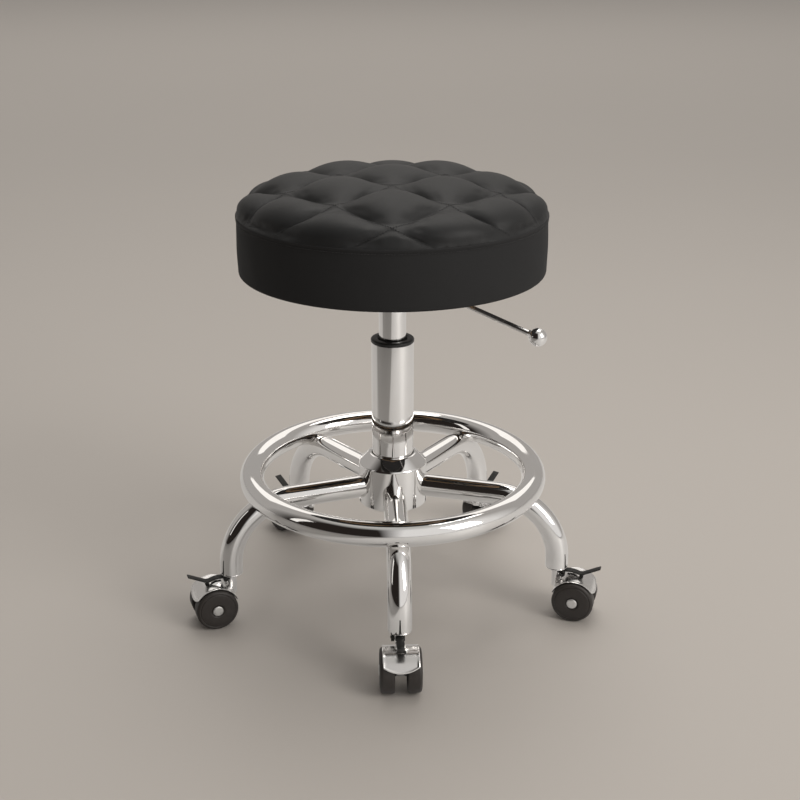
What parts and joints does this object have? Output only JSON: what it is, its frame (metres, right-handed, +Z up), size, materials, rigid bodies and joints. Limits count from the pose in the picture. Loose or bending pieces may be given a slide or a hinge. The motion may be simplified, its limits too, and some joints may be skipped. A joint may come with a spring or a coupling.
{
  "type": "rolling stool",
  "caption": "Round quilted swivel stool with a gas lift, release lever, foot ring, bent tube legs and braked twin-wheel casters.",
  "frame": {"origin": "on the floor, under the centre of the stool's bounding box; the column's axis is at x -0.0024, y 0.0184", "axes": "+Z up along the column; -Y is the side that the front leg points to, and the height lever's knob is at +X -Y"},
  "size_m": [0.4954, 0.4808, 0.53],
  "materials": {
    "base_chrome": "polished",
    "lift_chrome": "polished",
    "caster_chrome": "polished",
    "steel": "satin",
    "axle_cap": "satin",
    "black_plastic": "satin",
    "wheel_black": "satin",
    "black_paint": "satin",
    "charcoal_leather": "satin",
    "foam": "matte",
    "plywood": "matte",
    "dust_cloth": "matte"
  },
  "bodies": {
    "base": {"hub": "base_chrome", "foot_ring": "base_chrome", "column_tube": "lift_chrome", "column_bush": "black_plastic", "thrust_bearing": "steel", "leg_1": "base_chrome", "leg_2": "base_chrome", "leg_3": "base_chrome", "leg_4": "base_chrome", "leg_5": "base_chrome", "leg_rivet_1": "base_chrome", "leg_rivet_2": "base_chrome", "leg_rivet_3": "base_chrome", "leg_rivet_4": "base_chrome", "leg_rivet_5": "base_chrome", "caster_stem_1": "steel", "caster_stem_2": "steel", "caster_stem_3": "steel", "caster_stem_4": "steel", "caster_stem_5": "steel"},
    "swivel": {"piston_rod": "steel", "piston": "steel", "rod_clip": "steel"},
    "seat": {"gas_cylinder": "lift_chrome", "seat_plate": "black_paint", "lever_pivot_pin": "steel", "seat_board": "plywood", "seat_foam": "foam", "quilted_top": "charcoal_leather", "side_band": "charcoal_leather", "dust_cover": "dust_cloth"},
    "lever": {"lever_arm": "lift_chrome", "lever_knob": "lift_chrome"},
    "valve_button": {"valve_button": "steel"},
    "caster_1": {"caster_housing_1": "caster_chrome", "caster_axle_1": "axle_cap"},
    "wheel_1_left": {"wheel_1_left": "wheel_black"},
    "wheel_1_right": {"wheel_1_right": "wheel_black"},
    "brake_1": {"brake_lever_1": "black_paint"},
    "caster_2": {"caster_housing_2": "caster_chrome", "caster_axle_2": "axle_cap"},
    "wheel_2_left": {"wheel_2_left": "wheel_black"},
    "wheel_2_right": {"wheel_2_right": "wheel_black"},
    "brake_2": {"brake_lever_2": "black_paint"},
    "caster_3": {"caster_housing_3": "caster_chrome", "caster_axle_3": "axle_cap"},
    "wheel_3_left": {"wheel_3_left": "wheel_black"},
    "wheel_3_right": {"wheel_3_right": "wheel_black"},
    "brake_3": {"brake_lever_3": "black_paint"},
    "caster_4": {"caster_housing_4": "caster_chrome", "caster_axle_4": "axle_cap"},
    "wheel_4_left": {"wheel_4_left": "wheel_black"},
    "wheel_4_right": {"wheel_4_right": "wheel_black"},
    "brake_4": {"brake_lever_4": "black_paint"},
    "caster_5": {"caster_housing_5": "caster_chrome", "caster_axle_5": "axle_cap"},
    "wheel_5_left": {"wheel_5_left": "wheel_black"},
    "wheel_5_right": {"wheel_5_right": "wheel_black"},
    "brake_5": {"brake_lever_5": "black_paint"}
  },
  "joints": [
    {"name": "seat_swivel", "type": "hinge", "parent": "base", "child": "swivel", "pos_m": [-0.0024, 0.0184, 0.1346], "axis": [0, 0, 1], "continuous": true},
    {"name": "seat_height", "type": "slide", "parent": "swivel", "child": "seat", "axis": [0, 0, 1], "range_m": [-0.045, 0.1]},
    {"name": "height_lever", "type": "hinge", "parent": "seat", "child": "lever", "pos_m": [0.01598, 0.00297, 0.406], "axis": [-0.6428, -0.766, 0], "range_deg": [0, 6], "stiffness_Nm_per_rad": 2, "springref_deg": -6.88},
    {"name": "valve_press", "type": "slide", "parent": "seat", "child": "valve_button", "axis": [0, 0, 1], "range_m": [-0.0028, 0]},
    {"name": "caster_1_swivel", "type": "hinge", "parent": "base", "child": "caster_1", "pos_m": [0.00497, -0.18647, 0.058], "axis": [0, 0, 1], "continuous": true},
    {"name": "wheel_1_left_roll", "type": "hinge", "parent": "caster_1", "child": "wheel_1_left", "pos_m": [0.00581, -0.20995, 0.025], "axis": [0.9994, 0.0359, 0], "continuous": true},
    {"name": "wheel_1_right_roll", "type": "hinge", "parent": "caster_1", "child": "wheel_1_right", "pos_m": [0.00581, -0.20995, 0.025], "axis": [0.9994, 0.0359, 0], "continuous": true},
    {"name": "brake_1_press", "type": "hinge", "parent": "caster_1", "child": "brake_1", "pos_m": [0.00527, -0.19486, 0.0552], "axis": [0.9994, 0.0359, 0], "range_deg": [0, 6]},
    {"name": "caster_2_swivel", "type": "hinge", "parent": "base", "child": "caster_2", "pos_m": [0.19472, -0.0379, 0.058], "axis": [0, 0, 1], "continuous": true},
    {"name": "wheel_2_left_roll", "type": "hinge", "parent": "caster_2", "child": "wheel_2_left", "pos_m": [0.21731, -0.04435, 0.025], "axis": [0.2746, 0.9615, 0], "continuous": true},
    {"name": "wheel_2_right_roll", "type": "hinge", "parent": "caster_2", "child": "wheel_2_right", "pos_m": [0.21731, -0.04435, 0.025], "axis": [0.2746, 0.9615, 0], "continuous": true},
    {"name": "brake_2_press", "type": "hinge", "parent": "caster_2", "child": "brake_2", "pos_m": [0.2028, -0.04021, 0.0552], "axis": [0.2746, 0.9615, 0], "range_deg": [0, 6]},
    {"name": "caster_3_swivel", "type": "hinge", "parent": "base", "child": "caster_3", "pos_m": [0.11206, 0.18847, 0.058], "axis": [0, 0, 1], "continuous": true},
    {"name": "wheel_3_left_roll", "type": "hinge", "parent": "caster_3", "child": "wheel_3_left", "pos_m": [0.12518, 0.20797, 0.025], "axis": [-0.8296, 0.5583, 0], "continuous": true},
    {"name": "wheel_3_right_roll", "type": "hinge", "parent": "caster_3", "child": "wheel_3_right", "pos_m": [0.12518, 0.20797, 0.025], "axis": [-0.8296, 0.5583, 0], "continuous": true},
    {"name": "brake_3_press", "type": "hinge", "parent": "caster_3", "child": "brake_3", "pos_m": [0.11675, 0.19544, 0.0552], "axis": [-0.8296, 0.5583, 0], "range_deg": [0, 6]},
    {"name": "caster_4_swivel", "type": "hinge", "parent": "base", "child": "caster_4", "pos_m": [-0.12878, 0.17981, 0.058], "axis": [0, 0, 1], "continuous": true},
    {"name": "wheel_4_left_roll", "type": "hinge", "parent": "caster_4", "child": "wheel_4_left", "pos_m": [-0.14327, 0.19831, 0.025], "axis": [-0.7874, -0.6165, 0], "continuous": true},
    {"name": "wheel_4_right_roll", "type": "hinge", "parent": "caster_4", "child": "wheel_4_right", "pos_m": [-0.14327, 0.19831, 0.025], "axis": [-0.7874, -0.6165, 0], "continuous": true},
    {"name": "brake_4_press", "type": "hinge", "parent": "caster_4", "child": "brake_4", "pos_m": [-0.13396, 0.18642, 0.0552], "axis": [-0.7874, -0.6165, 0], "range_deg": [0, 6]},
    {"name": "caster_5_swivel", "type": "hinge", "parent": "base", "child": "caster_5", "pos_m": [-0.19496, -0.05192, 0.058], "axis": [0, 0, 1], "continuous": true},
    {"name": "wheel_5_left_roll", "type": "hinge", "parent": "caster_5", "child": "wheel_5_left", "pos_m": [-0.21704, -0.05998, 0.025], "axis": [0.343, -0.9393, 0], "continuous": true},
    {"name": "wheel_5_right_roll", "type": "hinge", "parent": "caster_5", "child": "wheel_5_right", "pos_m": [-0.21704, -0.05998, 0.025], "axis": [0.343, -0.9393, 0], "continuous": true},
    {"name": "brake_5_press", "type": "hinge", "parent": "caster_5", "child": "brake_5", "pos_m": [-0.20285, -0.0548, 0.0552], "axis": [0.343, -0.9393, 0], "range_deg": [0, 6]}
  ],
  "couplings": [
    {"joint": "valve_press", "follows": "height_lever", "m_per_rad": -0.024}
  ]
}
